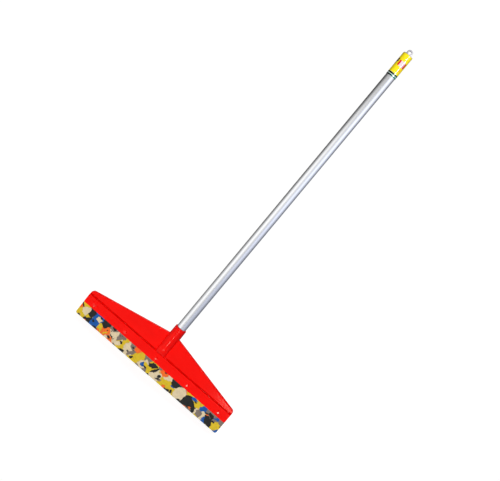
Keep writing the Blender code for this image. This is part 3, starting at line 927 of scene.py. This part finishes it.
@dataclass
class Head:
    """The moulded head with its rear strip, its socket's thread and its rivets."""

    length: float = 0.400
    band_front: float = -0.0093
    band_edge: float = 0.0008
    band_lean: float = 1.0
    fan_front: float = -0.0080
    fan_lean: float = 0.36
    flatness: float = 0.00003
    crease_inner: float = 0.0139
    crease_run_out: float = 0.001
    crease_foot: float = 0.0523
    crease_shape: tuple[Span, ...] = (
        (0.0020, 0.0), (-0.0012, 0.0), (-0.0014, 0.0006), (-0.0010, 0.0021),
        (0.00002, 0.0037), (0.0020, 0.0037))
    thread_radius: float = 0.0104
    thread_floor: float = 0.0755
    thread_top: float = 0.1115
    thread_margin: float = 0.002
    rivet_z: float = 0.040
    rivet_count: int = 5
    rivet_margin: float = 0.024
    rivet_radius: float = 0.0041
    rivet_seat: float = 0.0096
    rivet_sides: int = 32
    cap_height: float = 0.0036
    cap_rim: float = 0.0005
    cap_steps: int = 8
    stud_height: float = 0.0021
    stud_crown: float = 0.00025
    stud_round: float = 0.0008
    stud_steps: int = 6
    # Radius of the painted highlight on the rivet head furthest along +X; the others are smaller.
    glint_radius: float = 0.0018

    def build(self) -> None:
        """Build every piece of the head."""
        self.moulding()
        add_piece("clamping_strip", merged_copy("rear_strip", "clamping_strip"), Body.HEAD,
                  RED, ("rear_strip",), flats=True)
        self.socket_thread()
        self.rivets()

    def moulding(self) -> None:
        """Dress the moulded head, with the hollow of its crease and the draft of its mould."""
        mesh = combined(merged_copy("head_body", "moulded_head"), self.crease(), SHARP_ANGLE)
        self.draft(mesh)
        add_piece("moulded_head", mesh, Body.HEAD, HEAD_RED, ("head_body",), flats=True)

    def crease(self) -> Mesh:
        """Return the two long cutters of the hollow between the band and the fan.

        Returns:
            The cutters.
        """
        bm = bmesh.new()
        for side in (-1.0, 1.0):
            ends = (side * self.crease_inner, side * (self.length / 2 + self.crease_run_out))
            rings = [[bm.verts.new((x, self.fan_front - depth, self.crease_foot + rise))
                      for depth, rise in self.crease_shape] for x in ends]
            for ring in rings:
                bm.faces.new(ring)
            bridge(bm, rings)
        return mesh_of("crease", bm)

    def draft(self, mesh: Mesh) -> None:
        """Lean the fan's front face back and the band's front face under.

        Args:
            mesh: The moulded head.
        """
        foot = self.crease_foot + self.crease_shape[-1][1]
        fan, band = (tan(radians(lean)) for lean in (self.fan_lean, self.band_lean))
        for spot in (vert.co for vert in mesh.vertices):
            if abs(spot.y - self.fan_front) < self.flatness and spot.z > foot:
                spot.y += (spot.z - foot) * fan
            elif spot.y < self.band_front + self.band_edge and spot.z < self.crease_foot:
                spot.y += (self.crease_foot - spot.z) * band

    def socket_thread(self) -> None:
        """Cut the socket's thread: a ridge that climbs the bore."""
        length = self.thread_top - self.thread_floor - 2 * self.thread_margin
        ridge = ScrewThread(self.thread_radius, self.thread_floor + self.thread_margin, length, 1)
        add_piece("socket_thread", ridge.cut("socket_thread", RED), Body.HEAD, RED)

    def cap_profile(self) -> list[Span]:
        """Return the (radius, rise) points of a rivet cap: a full dome on a short rim.

        Returns:
            The points.
        """
        points = [(0.0, 0.0), (self.rivet_radius, 0.0)]
        for step in range(self.cap_steps):
            turn = pi / 2 * step / self.cap_steps
            points.append((self.rivet_radius * cos(turn),
                           self.cap_rim + (self.cap_height - self.cap_rim) * sin(turn)))
        return points + [(0.0, self.cap_height)]

    def stud_profile(self) -> list[Span]:
        """Return the (radius, rise) points of a pressed head: a rounded rim, a flat crown.

        Returns:
            The points.
        """
        points = [(0.0, 0.0), (self.rivet_radius, 0.0)]
        shoulder = self.stud_height - self.stud_crown
        inner = self.rivet_radius - self.stud_round
        for step in range(self.stud_steps + 1):
            turn = pi / 2 * 0.94 * step / self.stud_steps
            points.append((inner + self.stud_round * cos(turn),
                           shoulder - self.stud_round * (1.0 - sin(turn))))
        for share in (0.85, 0.7, 0.55, 0.4, 0.25, 0.12):
            points.append((inner * share, self.stud_height - self.stud_crown * share ** 2))
        return points + [(0.0, self.stud_height)]

    def rivets(self) -> None:
        """Set the row of rivet heads in front and the row of caps behind."""
        row = row_graph()
        pitch = (self.length - 2 * self.rivet_margin) / (self.rivet_count - 1)
        for name, node, facing, profile, mark in (
                ("rivet_heads", "rivet_stud", -1, self.stud_profile(), self.glint_radius),
                ("rivet_caps", "rivet_cap", 1, self.cap_profile(), 0.0)):
            one = turned(node, [(radius, facing * rise) for radius, rise in profile],
                         (0.0, facing * self.rivet_seat, self.rivet_z), False, self.rivet_sides,
                         sharp=50.0)
            mesh = row.bake(name, {
                "Count": self.rivet_count, "Pitch": pitch, "Mark": mark,
                "Centre": (0.0, 0.0, self.rivet_z), "Material": STUD_RED.material()}, one)
            nodes = tuple(f"{node}_{number}" for number in range(1, self.rivet_count + 1))
            add_piece(name, mesh, Body.HEAD, stands_for=nodes)


@dataclass
class FoamBlade:
    """The pressed-foam blade, cut from a sheet."""

    length: float = 0.400
    thickness: float = 0.012
    height: float = 0.0495
    corner: float = 0.0045
    corner_steps: int = 8
    edge: float = 0.0004

    def build(self) -> None:
        half = self.length / 2
        outline = [(-half, self.height), (-half, self.corner)]
        for middle, start in ((-half + self.corner, pi), (half - self.corner, 1.5 * pi)):
            for step in range(1, self.corner_steps):
                turn = start + pi / 2 * step / self.corner_steps
                outline.append((middle + self.corner * cos(turn),
                                self.corner + self.corner * sin(turn)))
        outline += [(half, self.corner), (half, self.height)]
        bm = bmesh.new()
        face = bm.faces.new([bm.verts.new((x, -self.thickness / 2, z)) for x, z in outline])
        grown = bmesh.ops.extrude_face_region(bm, geom=[face])
        moved = [part for part in grown["geom"] if isinstance(part, bmesh.types.BMVert)]
        bmesh.ops.translate(bm, vec=(0.0, self.thickness, 0.0), verts=moved)
        bmesh.ops.remove_doubles(bm, verts=bm.verts, dist=MERGE_DISTANCE)
        rims = [edge for edge in bm.edges
                if abs(edge.verts[0].co.y - edge.verts[1].co.y) < MERGE_DISTANCE]
        bmesh.ops.bevel(bm, geom=rims, offset=self.edge, segments=2, profile=0.5,
                        affect="EDGES")
        piece = add_piece("foam_blade_chips", mesh_of("foam_blade_chips", bm), Body.HEAD,
                          FOAM, ("foam_blade",), flats=True)


# ---- the handle


@dataclass
class Handle:
    """The aluminium tube with its threaded tip, printed wrap and hanging cap."""

    radius: float = 0.011
    wall: float = 0.001
    burr: float = 0.0002
    bottom: float = 0.1141
    top: float = 0.8641
    sides: int = 96
    seat_gap: float = 0.0003
    tip_outline: tuple[Span, ...] = (
        (0.0, 0.1238), (0.0060, 0.1238), (0.0065, 0.1233), (0.0065, 0.0788), (0.0081, 0.0788),
        (0.0095, 0.0803), (0.0095, 0.1110), (0.0103, 0.1115), (0.0108, 0.1120),
        (0.0108, 0.1136), (0.0106, 0.1138), (0.0097, 0.1138), (0.0097, 0.1434),
        (0.0090, 0.1441), (0.0, 0.1441))
    thread_root: float = 0.0095
    thread_start: float = 0.0800
    thread_length: float = 0.029
    label_length: float = 0.054
    label_wall: float = 0.00025
    plug_bottom: float = 0.8461
    cap_edge: float = 0.0005
    flange_edge: float = 0.0003
    flange_height: float = 0.0012
    tab_half: float = 0.0067
    tab_deep: float = 0.0038
    tab_corner: float = 0.8
    tab_steps: int = 10
    tab_sides: int = 40
    eye_z: float = 0.8704
    eye_outline: tuple[Span, ...] = (
        (0.0, -0.0050), (0.0044, -0.0050), (0.0044, -0.0037), (0.0036, -0.0028),
        (0.0032, -0.0016), (0.0032, 0.0016), (0.0036, 0.0028), (0.0044, 0.0037),
        (0.0044, 0.0050), (0.0, 0.0050))

    def build(self) -> None:
        """Build every piece of the handle."""
        self.tube()
        tip = turned("moulded_tip", list(self.tip_outline))
        add_piece("moulded_tip", tip, Body.HANDLE, PALE, ("threaded_tip",))
        ridge = ScrewThread(self.thread_root, self.thread_start, self.thread_length, -1)
        add_piece("tip_thread", ridge.cut("tip_thread", PALE), Body.HANDLE, PALE)
        self.label()
        self.cap()

    def tube(self) -> None:
        """Draw the tube with its deburred ends."""
        inside, burr = self.radius - self.wall, self.burr
        profile = [(inside, self.bottom + burr), (inside, self.top - burr),
                   (inside + burr, self.top), (self.radius - burr, self.top),
                   (self.radius, self.top - burr), (self.radius, self.bottom + burr),
                   (self.radius - burr, self.bottom), (inside + burr, self.bottom)]
        mesh = turned("drawn_tube", profile, sides=self.sides, closed=True)
        add_piece("drawn_tube", mesh, Body.HANDLE, METAL, ("handle_tube",))

    def label(self) -> None:
        """Wrap the printed film round the top of the tube and lay its map."""
        inside = self.radius + self.seat_gap
        outside = inside + self.label_wall
        low = self.top - self.label_length
        rims = [(inside, low), (outside, low), (outside, self.top), (inside, self.top)]
        bm = bmesh.new()
        chart = bm.loops.layers.uv.new("wrap")
        columns = []
        for step in range(self.sides):
            turn = 2 * pi * step / self.sides
            columns.append([bm.verts.new((radius * sin(turn),
                                          AXIS_Y + radius * cos(turn), height))
                            for radius, height in rims])
        for step in range(self.sides):
            for rim in range(len(rims)):
                other = (rim + 1) % len(rims)
                corners = ((step, rim), (step, other), (step + 1, other), (step + 1, rim))
                face = bm.faces.new([columns[turn % self.sides][spot] for turn, spot in corners])
                for loop, (turn, spot) in zip(face.loops, corners):
                    around = (0.5 - turn / self.sides) * 2 * pi * outside
                    loop[chart].uv = (around, rims[spot][1] - low)
        add_piece("printed_wrap", mesh_of("printed_wrap", bm), Body.HANDLE, WRAP,
                  ("label_sleeve",))

    def cap(self) -> None:
        """Mould the end cap: a plug, a thin flange and a rounded tab with the hanging eye."""
        seat = self.top + self.seat_gap
        crown = seat + self.flange_height
        inner = self.radius - self.wall - self.seat_gap
        profile = [(0.0, self.plug_bottom), (inner - self.cap_edge, self.plug_bottom),
                   (inner, self.plug_bottom + self.cap_edge), (inner, seat),
                   (self.radius - self.burr, seat), (self.radius, seat + self.flange_edge),
                   (self.radius, crown - self.cap_edge), (self.radius - self.cap_edge, crown),
                   (0.0, crown)]
        stem = turned("hanging_cap", profile, sides=self.sides)
        eye = turned("eye", list(self.eye_outline), (0.0, AXIS_Y, self.eye_z), False,
                     self.tab_sides)
        tab = combined(self.tab(crown - self.flange_height / 2), eye, 50.0)
        mesh = combined(stem, tab, 40.0, "UNION")
        add_piece("hanging_cap", mesh, Body.HANDLE, GREY, ("hang_cap",))

    def tab(self, foot: float) -> Mesh:
        """Return the tab above the flange, thick in its middle and thin at its rim.

        Args:
            foot: The height at which it starts.

        Returns:
            The tab without its eye.
        """
        climbs = [pi / 2 * step / self.tab_steps for step in range(self.tab_steps)]
        rows = [(1.0, foot), (1.0, (foot + self.eye_z) / 2)]
        rows += [(cos(climb), self.eye_z + self.tab_half * sin(climb)) for climb in climbs]
        turns = [2 * pi * side / self.tab_sides for side in range(self.tab_sides)]
        section = [[copysign(abs(part) ** self.tab_corner, part)
                    for part in (cos(turn), sin(turn))] for turn in turns]
        bm = bmesh.new()
        rings = [[bm.verts.new((self.tab_half * share * across,
                                AXIS_Y + self.tab_deep * share ** 0.5 * deep, height))
                  for across, deep in section] for share, height in rows]
        bridge(bm, rings)
        bm.faces.new(rings[0])
        crown = bm.verts.new((0.0, AXIS_Y, self.eye_z + self.tab_half))
        for side, vert in enumerate(rings[-1]):
            bm.faces.new((vert, rings[-1][(side + 1) % self.tab_sides], crown))
        return mesh_of("tab", bm)


# ---- the studio


def add_lamp(name: str, kind: str, power: float, way: Vector) -> bpy.types.Object:
    """Hang a lamp that shines one way.

    Args:
        name: The lamp's name.
        kind: AREA or SUN.
        power: Its power or strength.
        way: The direction in which it shines.

    Returns:
        The lamp.
    """
    lamp = linked(name, bpy.data.lights.new(name, kind))
    lamp.data.energy = power
    lamp.rotation_euler = way.to_track_quat("-Z", "Y").to_euler()
    return lamp


@dataclass(frozen=True)
class StripLamp:
    """An oblong studio lamp with a card that keeps it off one piece or on that piece alone."""

    name: str
    place: Point
    aim: Point
    size: Span
    power: float
    piece: str = "drawn_tube"
    screen: Screen = Screen.SHADES

    def hang(self) -> None:
        """Hang the lamp, point it at its aim and set its card."""
        lamp = add_lamp(self.name, "AREA", self.power, Vector(self.aim) - Vector(self.place))
        lamp.location = self.place
        lamp.data.shape = "RECTANGLE"
        lamp.data.size, lamp.data.size_y = self.size
        lamp.visible_camera = False
        card = bpy.data.collections.new(self.name + "_card")
        card.objects.link(bpy.data.objects[self.piece])
        card.collection_objects[0].light_linking.link_state = self.screen.value
        lamp.light_linking.receiver_collection = card


@dataclass(frozen=True)
class BroadLamp:
    """A large far lamp that lights matt faces; shiny faces mirror the room instead."""

    name: str
    towards: Point
    strength: float
    spread: float

    def hang(self) -> None:
        """Hang the lamp in its direction."""
        lamp = add_lamp(self.name, "SUN", self.strength, -Vector(self.towards))
        lamp.data.angle = radians(self.spread)
        lamp.visible_glossy = False


@dataclass(frozen=True)
class PhotoCamera:
    """The camera of the photograph, solved from the object's known sizes."""

    place: Point = (0.134249, -1.821161, 0.576032)
    turn: Point = (81.4367, -39.3933, 9.8973)
    film: float = 36.0
    lens: float = 62.7192
    reach: float = 20.0

    def set_up(self) -> None:
        """Place the camera and make it the scene's own."""
        camera = linked("photo_camera", bpy.data.cameras.new("photo_camera"))
        camera.location = self.place
        camera.rotation_euler = [radians(angle) for angle in self.turn]
        camera.data.sensor_width = self.film
        camera.data.lens = self.lens
        camera.data.clip_end = self.reach
        bpy.context.scene.camera = camera


@dataclass
class Studio:
    """The floor, the lamps, the world and the camera.

    The world is a room that only shiny faces mirror. Each row of `room` has a bearing in
    degrees, with the front at 0, and the room's light there in its low, middle and high tier.
    """

    floor_radius: float = 0.9
    floor_drop: float = 0.0004
    broad: tuple[BroadLamp, ...] = (
        BroadLamp("front_key", (-0.070, -0.981, 0.180), 2.68, 28.0),
        BroadLamp("top_fill", (0.0, 0.0, 1.0), 0.50, 90.0),
        BroadLamp("back_fill", (0.0, 0.700, 0.714), 2.40, 45.0))
    strips: tuple[StripLamp, ...] = (
        StripLamp("low_strip", (0.36, -2.0, -0.440), (0.0, -0.01, 0.075), (0.32, 0.090), 1.50),
        StripLamp("barrel_strip", (0.40, -2.0, -0.440), (0.0, -0.01, 0.075), (0.24, 0.090),
                  0.45),
        StripLamp("rim_strip", (0.36, -2.0, -0.330), (0.0, -0.01, 0.115), (0.32, 0.090), 0.45),
        StripLamp("label_strip", (1.349, -1.447, 1.136), (0.0, -0.0035, 0.840), (0.75, 0.18),
                  19.0, "printed_wrap", Screen.FRAMES),
        StripLamp("cap_strip", (1.026, -0.593, 1.058), (0.0, -0.0035, 0.870), (1.0, 0.30),
                  20.0, "hanging_cap", Screen.FRAMES))
    backdrop: Point = (-0.093, 0.959, -0.268)
    backdrop_edge: Span = (0.93, 0.97)
    white: Colour = (1.02, 1.02, 1.02)
    nose_light: Point = (0.022, -0.848, -0.530)
    nose_edge: Span = (0.985, 0.996)
    nose_level: float = 5.0
    room_level: float = 1.16
    ceiling_share: float = 0.1
    ceiling: Span = (11.0, 16.0)
    tiers: Point = (-13.0, 0.0, 9.7)
    cool_side: Span = (0.49, 0.60)
    cool_tints: tuple[Colour, Colour] = ((0.945, 1.0, 1.175), (0.975, 1.0, 1.10))
    room: tuple[tuple[float, ...], ...] = (
        (-180, 0.50, 0.50, 0.50), (-165, 0.50, 0.50, 0.50), (-150, 0.12, 0.12, 0.12),
        (-125, 0.14, 0.10, 0.04), (-96, 0.37, 0.22, 0.045), (-66, 0.72, 0.69, 0.155),
        (-41, 1.13, 1.18, 0.28), (-18, 0.91, 1.06, 0.325), (4, 0.54, 0.70, 0.52),
        (26, 0.51, 0.85, 1.00), (49, 0.50, 1.28, 1.20), (75, 0.41, 0.78, 0.86),
        (105, 0.22, 0.41, 0.34), (130, 0.14, 0.15, 0.15), (150, 0.12, 0.12, 0.12),
        (165, 0.50, 0.50, 0.50), (180, 0.50, 0.50, 0.50))

    def build(self) -> None:
        """Set up the whole studio."""
        self.floor()
        self.world()
        for lamp in self.broad + self.strips:
            lamp.hang()
        PhotoCamera().set_up()
        bpy.context.scene.view_settings.view_transform = "Standard"

    def floor(self) -> None:
        """Lay the round floor."""
        bm = bmesh.new()
        bmesh.ops.create_circle(bm, cap_ends=True, segments=96, radius=self.floor_radius)
        bmesh.ops.translate(bm, vec=(0.0, 0.0, -self.floor_drop), verts=bm.verts)
        floor = add_piece("studio_floor", mesh_of("studio_floor", bm), finish=FLOOR)
        floor.visible_glossy = False
        floor.visible_shadow = False

    def world(self) -> None:
        """Give shiny faces a room to mirror and keep it white behind the object."""
        world = bpy.data.worlds.new("soft_studio")
        bpy.context.scene.world = world
        world.cycles_visibility.diffuse = False
        world.use_nodes = True
        graph = ShaderGraph(world.node_tree)
        way = graph.add("ShaderNodeTexCoord").outputs["Generated"]
        path = graph.add("ShaderNodeLightPath").outputs
        behind = graph.ramp(graph.vector("DOT_PRODUCT", way, self.backdrop), *self.backdrop_edge)
        shiny = graph.maths("MAXIMUM", path["Is Glossy Ray"], path["Is Transmission Ray"])
        white = graph.maths("MAXIMUM", path["Is Camera Ray"],
                            graph.maths("MULTIPLY", shiny, behind))
        colour = graph.blend(white, self.mirrored(graph, way), self.white)
        ground = graph.add("ShaderNodeBackground", {"Color": colour, "Strength": 1.0})
        graph.add("ShaderNodeOutputWorld", {"Surface": ground.outputs[0]})

    def mirrored(self, graph: ShaderGraph, way: Socket) -> Socket:
        """Return what a shiny face mirrors in a direction: the room in three tiers.

        Args:
            graph: The world's tree.
            way: The direction.

        Returns:
            The light from there.
        """
        east, north, rise = graph.parts(way)
        turn = graph.maths("ARCTAN2", east, graph.maths("MULTIPLY", north, -1.0))
        bearing = graph.maths("MULTIPLY_ADD", turn, 0.5 / pi, 0.5)
        climb = graph.maths("ARCSINE", rise)
        low, middle, high = (
            graph.looked_up(bearing, [(row[0] / 360 + 0.5, (row[tier],) * 3)
                                      for row in self.room], "LINEAR") for tier in (1, 2, 3))
        bottom, level, top = (radians(height) for height in self.tiers)
        lower = graph.ramp(climb, bottom, level, form="LINEAR")
        upper = graph.ramp(climb, level, top, form="LINEAR")
        room = graph.blend(upper, graph.blend(lower, low, middle), high)
        tint = graph.blend(graph.ramp(bearing, *self.cool_side), (1.0, 1.0, 1.0),
                           graph.blend(upper, *self.cool_tints))
        dusk = graph.ramp(climb, *(radians(height) for height in self.ceiling),
                          self.room_level, self.ceiling_share * self.room_level)
        room = graph.tinted(graph.vector("MULTIPLY", room, tint), dusk)
        glint = graph.ramp(graph.vector("DOT_PRODUCT", way, self.nose_light), *self.nose_edge,
                           0.0, self.nose_level)
        return graph.vector("ADD", room, glint)


# ---- assembly


def main() -> None:
    """Build every sub-assembly and the studio, in order."""
    logging.basicConfig(level=logging.INFO, format="%(name)s: %(message)s")
    for part in (Head(), FoamBlade(), Handle()):
        LOG.info("building %s", type(part).__name__)
        part.build()
    LOG.info("setting up the studio")
    Studio().build()


if __name__ == "__main__":
    main()
